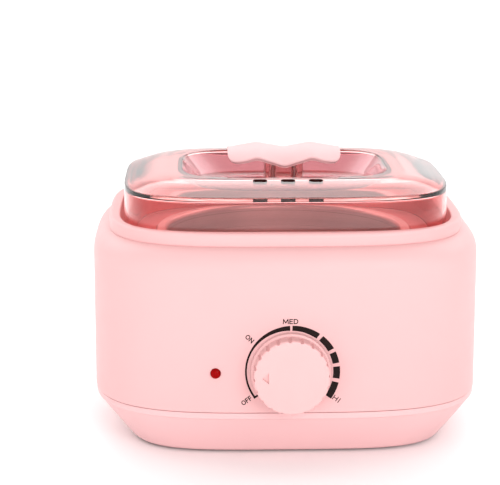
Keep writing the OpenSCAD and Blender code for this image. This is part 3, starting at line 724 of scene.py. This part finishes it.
# ------------------------------------------------------------------ dial and lamp
def knob():
    radius, face, skirt = 18.2, 12.1, 19.5      # face: how far it stands out from y = -BODY_Y
    notches, notch_radius, segments = 20, 0.98, 720
    # (radius, distance out, cut)
    profile = soften([
        (0.3, face, 0), (6, face, 0), (12, face, 0), (15.5, face, 0), (radius, face, 1.15),
        (radius, 3.1, 0.35), (skirt - 0.25, 2.75, 0.3), (skirt, 0.5, 0.35),
        (skirt - 1.6, 0.5, 0.2), (skirt - 1.9, 1.9, 0), (radius - 2.2, 3.2, 0),
        (radius - 2.4, face - 2.4, 0.6), (5, face - 2.4, 0), (0.3, face - 2.4, 0)], 6)

    # Round notches cut into the side limit the radius at each angle.
    angles = full_turn(segments)
    pitch = 2 * math.pi / notches
    offset = (angles - math.radians(3) + pitch / 2) % pitch - pitch / 2
    notch_centre = radius + 0.2
    along, aside = notch_centre * np.cos(offset), notch_centre * np.sin(offset)
    dip = np.sqrt(np.maximum(notch_radius ** 2 - aside ** 2, 0))
    limit = np.where(np.abs(aside) < notch_radius, along - dip, 99.0)
    rings = []
    for ring_radius, out in subdivide(profile, 2.2):
        if out > 3.05 and ring_radius > 16.4:
            radii = np.minimum(ring_radius, limit)
        else:
            radii = np.full(segments, ring_radius)
        rings.append(np.stack([radii * np.cos(angles), np.full(segments, -BODY_Y - out),
                               DIAL_Z + radii * np.sin(angles)], 1))
    obj = loft("knob_shell", rings)

    boolean(obj, [cylinder(0, -BODY_Y - face + 1.5, DIAL_Z, 6, 6.4, "Y", 64)], "UNION")
    pointer = loft("cutter", [
        [(x, y, DIAL_Z + z) for x, z in ((-14.1, 0), (-11, 2.6), (-11, -2.6))]
        for y in (-BODY_Y - face - 1, -BODY_Y - face + 0.9)])
    boolean(obj, [pointer, cylinder(0, -BODY_Y - 10.4, DIAL_Z, 3.05, 8, "Y", 48)])
    finish(obj, "pink_knob", "knob", "control_knob", angle=38)


def lens():
    # (radius, distance forward), then a domed front
    profile = [(0.1, 81.9), (3.4, 81.9), (3.5, 82.0), (3.5, 83.0), (3.4, 83.1), (2.5, 83.1),
               (2.5, 85), (2.5, 86.5)]
    profile += [(2.5 * math.cos(math.radians(angle)), 86.55 + 1.55 * math.sin(math.radians(angle)))
                for angle in range(6, 90, 7)]
    obj = spin("lamp_lens", profile, 64, "Y", (LAMP_X, 0, LAMP_Z), flip=-1)
    finish(obj, "red_lens", "root", "indicator_lens")


INK_HALF_THICKNESS = 0.05
# The printed arc: degrees clockwise from straight up, inner radius, outer radius.
ARC_ANGLE, ARC_INNER, ARC_OUTER = zip(
    (-128, 21.0, 22.05), (-120, 21.05, 22.02), (-90, 21.12, 21.98), (-60, 21.05, 22.05),
    (-45, 20.85, 22.17), (-30, 20.6, 22.28), (-15, 20.38, 22.42), (0, 20.2, 22.68),
    (15, 20.22, 22.88), (30, 20.25, 23.1), (45, 20.3, 23.35), (60, 20.38, 23.55),
    (90, 20.42, 23.68), (105, 20.42, 23.75), (130, 20.42, 23.82))
# Its bands: start angle, end angle, stations.
ARC_BANDS = [(-126.8, -1.05, 90), (1.75, 36.85, 30), (41.4, 61.1, 18), (65.5, 79.65, 14),
             (84.1, 99.3, 14), (104.0, 125.4, 18)]


def add_strip(verts, faces, stations, closed=False):
    """A thin printed strip on the front wall. Each station is a pair of (x, z) edge points."""
    start = len(verts)
    for pair in stations:
        verts += [(x, wall_y(x) + side, z) for x, z in pair
                  for side in (-INK_HALF_THICKNESS, INK_HALF_THICKNESS)]
    last = start + 4 * (len(stations) - 1)
    for near in range(start, last, 4):
        far = near + 4
        faces += [(near, near + 2, far + 2, far), (near + 1, far + 1, far + 3, near + 3),
                  (near, far, far + 1, near + 1), (near + 2, near + 3, far + 3, far + 2)]
    if not closed:
        faces += [(start, start + 1, start + 3, start + 2), (last, last + 2, last + 3, last + 1)]


def ribbon(spec):
    """A strip about the dial from (angle, inner radius, outer radius)."""
    verts, faces, stations = [], [], []
    for angle, *radii in spec:
        sin, cos = math.sin(math.radians(angle)), math.cos(math.radians(angle))
        stations.append([(radius * sin, DIAL_Z + radius * cos) for radius in radii])
    add_strip(verts, faces, stations)
    return build("ink", verts, faces)


def ink_band(start, end, count):
    return ribbon([(angle, np.interp(angle, ARC_ANGLE, ARC_INNER),
                    np.interp(angle, ARC_ANGLE, ARC_OUTER))
                   for angle in np.linspace(start, end, count)])


def arc(centre_x, centre_z, radius_x, radius_z, start, end, count):
    return [(centre_x + radius_x * math.cos(math.radians(angle)),
             centre_z + radius_z * math.sin(math.radians(angle)))
            for angle in np.linspace(start, end, count)]


LETTERS = {                         # width, then strokes on a cap height of 1
    "M": (0.92, [[(0, 0), (0.06, 1)], [(0.06, 1), (0.46, 0.2)], [(0.46, 0.2), (0.86, 1)],
                 [(0.86, 1), (0.92, 0)]]),
    "E": (0.5, [[(0, 0), (0, 1)], [(0, 0), (0.5, 0)], [(0, 0.52), (0.44, 0.52)],
                [(0, 1), (0.5, 1)]]),
    "D": (0.68, [[(0, 0), (0, 1)],
                 [(0, 1), (0.26, 1)] + arc(0.26, 0.5, 0.42, 0.5, 80, -80, 12)
                 + [(0.26, 0), (0, 0)]]),
    "O": (0.78, [arc(0.39, 0.5, 0.39, 0.5, 0, 360, 25)]),
    "N": (0.68, [[(0, 0), (0, 1)], [(0, 1), (0.68, 0)], [(0.68, 0), (0.68, 1)]]),
    "F": (0.48, [[(0, 0), (0, 1)], [(0, 0.52), (0.42, 0.52)], [(0, 1), (0.48, 1)]]),
    "H": (0.66, [[(0, 0), (0, 1)], [(0.66, 0), (0.66, 1)], [(0, 0.52), (0.66, 0.52)]]),
    "I": (0.0, [[(0, 0), (0, 1)]]),
}


def word(text, centre_x, centre_z, cap, width, turn, pen=0.44, gap=0.3):
    """A printed word on the front wall, turned anticlockwise by turn degrees."""
    total = sum(LETTERS[letter][0] for letter in text) + gap * (len(text) - 1)
    scale_x, scale_z = (width - pen) / total, cap - pen
    cos, sin = math.cos(math.radians(turn)), math.sin(math.radians(turn))
    verts, faces, cursor = [], [], 0.0

    def on_wall(x, z):
        return centre_x + x * cos - z * sin, centre_z + x * sin + z * cos

    for letter in text:
        letter_width, strokes = LETTERS[letter]
        for stroke in strokes:
            points = np.array([((cursor + x) * scale_x - (width - pen) / 2, (z - 0.5) * scale_z)
                               for x, z in stroke])
            closed = np.allclose(points[0], points[-1])
            last = len(points) - 1
            stations = []
            for i, point in enumerate(points):
                if closed and i in (0, last):
                    along = points[1] - points[-2]
                else:
                    along = points[min(i + 1, last)] - points[max(i - 1, 0)]
                along = along / np.linalg.norm(along)
                extend = 0                      # open strokes run half a pen past their ends
                if not closed and i in (0, last):
                    extend = -pen / 2 if i == 0 else pen / 2
                middle = point + along * extend
                aside = np.array([-along[1], along[0]]) * pen / 2
                stations.append([on_wall(middle[0] + sign * aside[0], middle[1] + sign * aside[1])
                                 for sign in (1, -1)])
            add_strip(verts, faces, stations, closed)
        cursor += letter_width + gap
    return build("word", verts, faces)


def dial_print():
    arcs = [ink_band(*band) for band in ARC_BANDS]
    arcs.append(ribbon([(angle, 19.75, 22.1) for angle in np.linspace(-127.9, -125.3, 4)]))
    finish(join(arcs, "dial_scale"), "dial_ink", "root", angle=20, weighted=False)
    words = [word("MED", -0.25, 69.9, cap=2.5, width=7.4, turn=0),
             word("ON", -19.8, 61.5, cap=2.4, width=4.4, turn=-43),
             word("OFF", -21.25, 30.7, cap=2.4, width=5.6, turn=36),
             word("HI", 22.05, 31.3, cap=2.6, width=3.6, turn=-35, pen=0.40, gap=0.42)]
    finish(join(words, "dial_words"), "dial_ink", "root", angle=20, weighted=False)


# ------------------------------------------------------------------ mains lead
LOOP_X, LOOP_Y, LOOP_Z = -30, 107, 19       # start centre of the bundled coil, which steps to +Y
LOOP_HALF_X, LOOP_HALF_Z = 48, 15
LOOP_PITCH, LOOP_TURNS = 6.3, 3.5
CORD_RADIUS = 2.88
PLUG_Y, PLUG_Z = LOOP_Y + LOOP_PITCH * LOOP_TURNS, 7.6


def strain_relief():
    bore = 2.95
    # (radius, y, cut)
    corners = [(bore, 79, 0.1), (7, 79, 0.3), (7, 82.4, 0.3), (5.9, 83.1, 0), (5.9, 87.3, 0),
               (7.6, 87.4, 0.35), (7.6, 88.8, 0.6), (5.9, 89.3, 0.3)]
    y, radius = 89.3, 5.5
    while y < 95.9:                         # ribs of the boot
        corners += [(radius, y + 0.15, 0.12), (radius - 0.03, y + 0.85, 0.25),
                    (radius - 0.75, y + 1.0, 0.12), (radius - 0.78, y + 1.35, 0.1)]
        y += 1.35
        radius -= 0.25
    corners += [(4.2, 96.6, 0.4), (bore, 96.8, 0.2)]
    obj = spin("cord_boot", soften(corners, 4, wrap=True), 72, "Y", (CORD_X, 0, CORD_Z), wrap=True)
    finish(obj, "cord_plastic", "root", "strain_relief")


def tube_rings(path, radius, count):
    """Rings square to the path, carried along it without twist."""
    path = np.array(path, float)
    side = np.array((0, 0, 1), float)
    angles = full_turn(count)
    rings = []
    for i, point in enumerate(path):
        along = path[min(i + 1, len(path) - 1)] - path[max(i - 1, 0)]
        along /= np.linalg.norm(along)
        side = side - (side @ along) * along
        side /= np.linalg.norm(side)
        across = np.cross(along, side)
        rings.append(point + radius * (np.cos(angles)[:, None] * side
                                       + np.sin(angles)[:, None] * across))
    return rings


def cord():
    bend_y, bend_radius = 97, 10
    guide = [(CORD_X, y, CORD_Z) for y in (68.2, 80, 90, bend_y)]
    for degrees in range(15, 91, 15):       # the bend towards -X behind the body
        angle = math.radians(degrees)
        guide.append((20 + bend_radius * math.cos(angle), bend_y + bend_radius * math.sin(angle),
                      CORD_Z))
    guide += [(x, LOOP_Y, CORD_Z) for x in (10, 0, -15)]
    for degrees in range(0, int(360 * LOOP_TURNS) + 1, 12):
        angle = math.radians(degrees)
        guide.append((LOOP_X - LOOP_HALF_X * math.sin(angle),
                      LOOP_Y + LOOP_PITCH * degrees / 360,
                      LOOP_Z + LOOP_HALF_Z * math.cos(angle)))
    low, lift = LOOP_Z - LOOP_HALF_Z, 3.6   # the tail rises to the plug
    guide += [(LOOP_X + 52 * k / 5 - 4, PLUG_Y, low + lift * (1 - math.cos(math.pi * k / 5)) / 2)
              for k in range(1, 6)]
    guide.append((24, PLUG_Y, low + lift))
    obj = loft("mains_cord", tube_rings(spline(guide, 3), CORD_RADIUS, 24))
    finish(obj, "cord_plastic", "root", "power_cord", angle=50)


def cord_tie():
    """A strap pulled tight around the outermost cord runs of the coil."""
    high, low, half_pitch = LOOP_Z + LOOP_HALF_Z, LOOP_Z - LOOP_HALF_Z, 3.15
    runs = [(LOOP_Y, high), (PLUG_Y - half_pitch, high), (LOOP_Y + half_pitch, low), (PLUG_Y, low)]
    middle = np.array([(LOOP_Y + PLUG_Y) / 2, LOOP_Z])
    wanted = np.linspace(-math.pi, math.pi, 160, endpoint=False)

    def loop(radius):
        """The (y, z) loop around the runs at this distance, at even angles about the middle."""
        hull = convex_hull([(y + radius * math.cos(angle), z + radius * math.sin(angle))
                            for y, z in runs
                            for angle in np.linspace(0, 2 * math.pi, 48, endpoint=False)])
        hull = np.array(hull + [hull[0]])
        angles = np.unwrap(np.arctan2(hull[:, 1] - middle[1], hull[:, 0] - middle[0]))
        angles = np.concatenate([angles - 2 * math.pi, angles, angles + 2 * math.pi])
        order = np.argsort(angles)
        return [np.interp(wanted, angles[order], np.concatenate([hull[:, axis]] * 3)[order])
                for axis in (0, 1)]

    # (distance from the cord centres, x, cut)
    profile = soften([(3.02, -37, 0.15), (3.9, -37, 0.3), (3.9, -23, 0.3), (3.02, -23, 0.15)],
                     4, wrap=True)
    rings = []
    for radius, x in subdivide(profile, 3, wrap=True):
        y, z = loop(radius)
        rings.append(np.stack([np.full(len(y), x), y, z], 1))
    finish(loft("cord_strap", rings, wrap=True), "tie_fabric", "root", "cord_tie")


# Moulded plug body after the neck: x, half y, half z, power.
PLUG_STATIONS = [
    (31.8, 5.4, 5.4, 2), (32.0, 8.6, 6.4, 3), (32.3, 10.6, 6.85, 5), (33.0, 11, 7, 6),
    (35.9, 11, 7, 6), (36.1, 11.05, 7.0, 6), (36.5, 11.9, 7.25, 7), (37.2, 12.2, 7.4, 7),
    (42, 12.2, 7.4, 7), (42.2, 11.9, 7.1, 7), (43, 11.9, 7.1, 7), (43.2, 12.2, 7.4, 7),
    (45, 12.2, 7.4, 7), (45.2, 11.9, 7.1, 7), (46, 11.9, 7.1, 7), (46.2, 12.2, 7.4, 7),
    (52.3, 12.2, 7.4, 7), (53.1, 12.0, 7.2, 7), (53.45, 11.5, 6.8, 7), (53.5, 10.8, 6.2, 7),
    (53.5, 5, 3, 5)]


def plug():
    count = 96
    stations = [(20, 3.0, 3.0, 2), (20.05, 3.7, 3.7, 2), (20.4, 4.0, 4.0, 2)]
    x, radius = 20.6, 4.05
    while x < 31.4:                         # flex ribs of the neck
        for step, grow in ((0.1, 0), (1.0, 0.06), (1.15, -0.7), (1.65, -0.66), (1.8, 0.1)):
            stations.append((x + step, radius + grow, radius + grow, 2))
        x += 1.8
        radius += 0.2
    rings = []
    for x, half_y, half_z, power in stations + PLUG_STATIONS:
        flat = outline(half_y, half_z, power, 0, full_turn(count))
        rings.append(np.stack([np.full(count, float(x)), PLUG_Y + flat[:, 0],
                               PLUG_Z + flat[:, 1]], 1))
    finish(loft("plug_body", rings), "cord_plastic", "root", "mains_plug", angle=28)


def blades():
    chamfer = 0.14
    parts = []
    for side in (-1, 1):
        y = PLUG_Y + side * 6.35
        rings = []
        for x, tall, thick in ((53.0, 3.15, 0.75), (66, 3.15, 0.75), (69, 3.1, 0.62),
                               (70.4, 2.6, 0.62), (71.1, 1.6, 0.4)):    # x, half z, half y
            thin, short = thick - chamfer, tall - chamfer
            section = [(-thick, -short), (-thin, -tall), (thin, -tall), (thick, -short),
                       (thick, short), (thin, tall), (-thin, tall), (-thick, short)]
            rings.append([(x, y + dy, PLUG_Z + dz) for dy, dz in section])
        blade = loft("blade", rings)
        boolean(blade, [cylinder(67.6, y - 2, PLUG_Z, 1.5, 4, "Y", 32)])
        parts.append(blade)
    finish(join(parts, "plug_pins"), "brass_tabs", "root", "plug_blades", angle=25)


# ------------------------------------------------------------------ lid
HANDLE_SCREW_XS = (-5.5, 5.5)
STEM_TOP = 136.0


def lid_shell():
    edge, top, wall = 126.7, 132.2, 2.0
    basin = top - 11.5
    foot = DECK + 0.05
    # Corners are (half x, half y, power, z, cut): inner skin outwards, then outer skin inwards.
    inner = [
        (8, 6, 5, basin - wall, 0), (30, 22, 3, basin - wall, 0),
        (43.5, 31.5, 3, basin - wall, 1.2), (45.6, 33.6, 3, basin - 1.0, 1.0),
        (53.2, 44.7, 4.2, top - wall - 0.4, 0.4), (54.4, 45.8, 4.2, top - wall - 0.05, 0.5),
        (58.2, 48.7, 6, top - wall, 3.5), (68.7, 57.7, 5, top - wall - 1.55, 6),
        (LID_X - wall - 2.0, LID_Y - wall - 2.5, 4, edge - wall - 0.2, 0.7),
        (LID_X - wall - 0.7, LID_Y - wall - 1.2, 4, edge - wall - 0.7, 0.7),
        (LID_X - wall, LID_Y - wall, LID_POWER, foot, 0.25)]
    outer = [
        (LID_X, LID_Y, LID_POWER, foot, 0.4), (LID_X - 0.7, LID_Y - 1.2, 4, edge - 0.05, 0.45),
        (69.3, 58.3, 5, top - 1.5, 6), (58.5, 49, 6, top + 0.08, 4.5),
        (52.4, 44.1, 4.2, top, 0.3), (44.5, 32.8, 3, basin + 1.2, 1.6),
        (41.4, 29.8, 3, basin, 1.2), (20, 15, 4, basin, 0)]
    # The stem in the basin that carries the handle: half x, half y, power, z.
    stem = [
        (13, 11, 5, basin), (11.2, 9.2, 6, basin + 0.05), (10.5, 8.5, 7, basin + 0.35),
        (10.1, 8.1, 8, basin + 0.9), (10, 8, 8, basin + 2), (10, 8, 8, 130), (10, 8, 8, 135.2),
        (9.9, 7.9, 8, 135.8), (9.6, 7.6, 8, STEM_TOP), (6, 5, 5, STEM_TOP)]
    stations = subdivide(soften(inner + outer, 7), 6.0) + stem
    obj = loft("lid_clear", [outline(*station, LID_ANGLES) for station in stations])

    slot_pitch, slot_y = 13.7, -51.8
    tools = [slot_tool(slot_pitch * i, slot_y, reach_x=1.65, reach_y=0, radius=1.95,
                       low=top - 6, high=top + 4) for i in (-1, 0, 1)]
    tools += [spin("cutter", [(3.2, 112), (3.2, 121.5), (1.6, 121.5), (1.6, 138)], 40,
                   at=(x, 0, 0)) for x in HANDLE_SCREW_XS]
    boolean(obj, tools)
    finish(obj, "tinted_lid", "lid", "lid", angle=36)
    obj.data.materials.append(MATERIALS["lid_slot_shade"])
    for face in obj.data.polygons:          # the walls of the slots are rough and painted near black: painted shade inside the slots
        centre = face.center / MM
        nearest = min(abs(centre.x - slot_pitch * i) for i in (-1, 0, 1))
        if (abs(face.normal.z) < 0.3 and -53.9 < centre.y < -49.7 and centre.z > 128
                and nearest < 3.75):
            face.material_index = 1


def handle():
    """A wavy arched plate on a small block."""
    width, depth, arch, thickness = 58, 38, 5.6, 2.4
    base_z, wavelength, edge_radius = 136.05, 28.0, 0.5
    angles = even_angles(width / 2, depth / 2, 6, 224)
    base = outline(width / 2, depth / 2, 6, 0, angles)

    def top_z(x, y):
        out = (2 * y / depth) ** 2
        phase = 2 * math.pi * x / wavelength
        wave = np.cos(phase) + 0.1 * np.cos(3 * phase)
        return base_z + arch * (1 - out) - (0.95 + 0.8 * out) * wave

    def ring(share, drop, trim=0.0):
        """The outline scaled by share and pulled in by trim, drop above the top surface."""
        flat = base[:, :2] * share
        length = np.linalg.norm(flat, axis=1, keepdims=True)
        flat = flat * (1 - trim / np.maximum(length, 1e-6))
        return np.stack([flat[:, 0], flat[:, 1], top_z(flat[:, 0], flat[:, 1]) + drop], 1)

    shares = [0.02, 0.1, 0.18, 0.26, 0.34, 0.42, 0.5, 0.58, 0.66, 0.73, 0.8, 0.86, 0.91, 0.95]
    rings = [ring(share, 0) for share in shares]
    for degrees in range(0, 91, 15):        # rounded top edge, then an undercut side
        angle = math.radians(degrees)
        rings.append(ring(1.0, -edge_radius + edge_radius * math.cos(angle),
                          edge_radius * (1 - math.sin(angle))))
    for share in (0.15, 0.5, 0.85):
        rings.append(ring(1.0, -edge_radius - (thickness - edge_radius - 0.3) * share,
                          1.1 * share))
    for degrees in range(0, 91, 30):
        angle = math.radians(degrees)
        rings.append(ring(1.0, -thickness + 0.3 - 0.3 * math.sin(angle),
                          1.1 + 0.3 * (1 - math.cos(angle))))
    rings += [ring(share, -thickness) for share in shares[::-1]]
    obj = loft("grip_plate", rings)
    block = loft("block", [outline(8.5, 6, 8, z, full_turn(64)) for z in (STEM_TOP, 140.0)])
    holes = [cylinder(x, 0, 135, 1.3, 4.0, segments=24) for x in HANDLE_SCREW_XS]
    boolean(obj, [block], "UNION")
    boolean(obj, holes)
    finish(obj, "pink_handle", "lid", "lid_handle", angle=40)


def refine_screws():
    """Small bevels on the CAD screws."""
    for name in ("base_screws", "handle_screws", "bracket_screws"):
        obj = frame["nodes"][name]
        obj.modifiers.new("weld", "WELD").merge_threshold = 1e-6
        bevel = obj.modifiers.new("edge", "BEVEL")
        bevel.width, bevel.segments = 0.00008, 2
        bevel.limit_method, bevel.angle_limit = "ANGLE", math.radians(40)
        obj.modifiers.new("normals", "WEIGHTED_NORMAL").keep_sharp = True


# ------------------------------------------------------------------ stage, light, camera
def build_floor():
    bm = bmesh.new()
    bmesh.ops.create_grid(bm, x_segments=40, y_segments=40, size=6.0)
    mesh = bpy.data.meshes.new("floor")
    bm.to_mesh(mesh)
    bm.free()
    floor = place("floor", mesh)
    floor_paint()
    floor.data.materials.append(MATERIALS["floor_paint"])


def build_world():
    """An even white surround with brighter panels at the back, seen only by reflection."""
    world = bpy.data.worlds.new("studio")
    bpy.context.scene.world = world
    world.use_nodes = True
    tree = world.node_tree
    tree.nodes.clear()
    output = add_node(tree, "ShaderNodeOutputWorld")
    background = add_node(tree, "ShaderNodeBackground", {"Color": (1, 1, 1, 1)})
    feed(tree, output, {0: background.outputs[0]})
    x, y, z = split_xyz(tree, coordinates(tree, "Generated"))   # the direction looked in

    def step(value, zero_at, one_at):
        return smooth(tree, value, zero_at, one_at)

    def product(*values):
        return maths(tree, "MULTIPLY", *values)

    def total(*values):
        return maths(tree, "ADD", *values)

    # The last factor of each product is the strength that zone adds.
    behind = step(y, 0.10, 0.30)
    band = product(step(z, 0.34, 0.46), step(z, 0.86, 0.76), 1.2)
    upper = product(step(z, 0.34, 0.46), step(z, 0.95, 0.85), 0.9)
    lower = product(step(z, 0.36, 0.30), 0.2)
    panel = product(total(band, upper, lower), behind)
    dim_above_front = product(step(z, 0.45, 0.6), step(y, 0.25, 0.0), -0.2)
    side_cards = product(step(maths(tree, "ABSOLUTE", x), 0.93, 0.96), step(z, 0.42, 0.30), -0.1)
    flanks = product(step(maths(tree, "ABSOLUTE", x), 0.13, 0.19), step(z, 0.24, 0.18),
                     step(z, 0.0, 0.05), product(behind, 0.25))
    ambient, backdrop = 0.97, 1.02
    lighting = total(panel, dim_above_front, flanks, total(side_cards, ambient))
    seen = add_node(tree, "ShaderNodeLightPath").outputs["Is Camera Ray"]
    strength = total(product(lighting, maths(tree, "SUBTRACT", 1.0, seen)),
                     product(seen, backdrop))
    feed(tree, background, {"Strength": strength})


def aim(obj, direction):
    obj.rotation_mode = "QUATERNION"
    obj.rotation_quaternion = direction.to_track_quat("-Z", "Y")


def area_light(name, location, target, size, power):
    data = bpy.data.lights.new(name, "AREA")
    data.shape, data.energy, data.color = "RECTANGLE", power, (1, 1, 1)
    data.size, data.size_y = size
    light = place(name, data)
    light.location = location
    aim(light, Vector(target) - Vector(location))
    return light


def build_camera():
    azimuth, elevation = math.radians(-1.57), math.radians(12.14)
    distance, target = 0.900, Vector((-0.01721, 0, 0.08982))
    back = Vector((math.sin(azimuth) * math.cos(elevation),
                   -math.cos(azimuth) * math.cos(elevation), math.sin(elevation)))
    data = bpy.data.cameras.new("camera")
    data.sensor_width, data.lens = 36.0, 123.79536      # millimetres
    data.clip_start, data.clip_end = 0.05, 50
    camera = place("camera", data)
    camera.location = target + back * distance
    aim(camera, -back)
    bpy.context.scene.camera = camera


def render_settings():
    scene = bpy.context.scene
    scene.cycles.max_bounces = 20
    scene.cycles.glossy_bounces = 16
    scene.cycles.transmission_bounces = 16
    scene.cycles.transparent_max_bounces = 16
    scene.view_settings.view_transform = "Standard"
    scene.view_settings.look = "None"


for build_piece in (upper_housing, base_shell, feet, wax_pot, heating_well, gasket, knob, lens,
                    dial_print, strain_relief, cord, cord_tie, plug, blades, lid_shell, handle):
    build_piece()
refine_screws()
build_floor()
build_world()
area_light("key", location=(0.75, -1.7, 0.75), target=(0, 0, 0.06), size=(1.0, 1.0), power=13)
fill = area_light("fill", location=(-0.8, -1.5, 0.18), target=(0, 0, 0.03), size=(0.9, 0.3),
                  power=6.3)
fill.visible_glossy = False
build_camera()
render_settings()
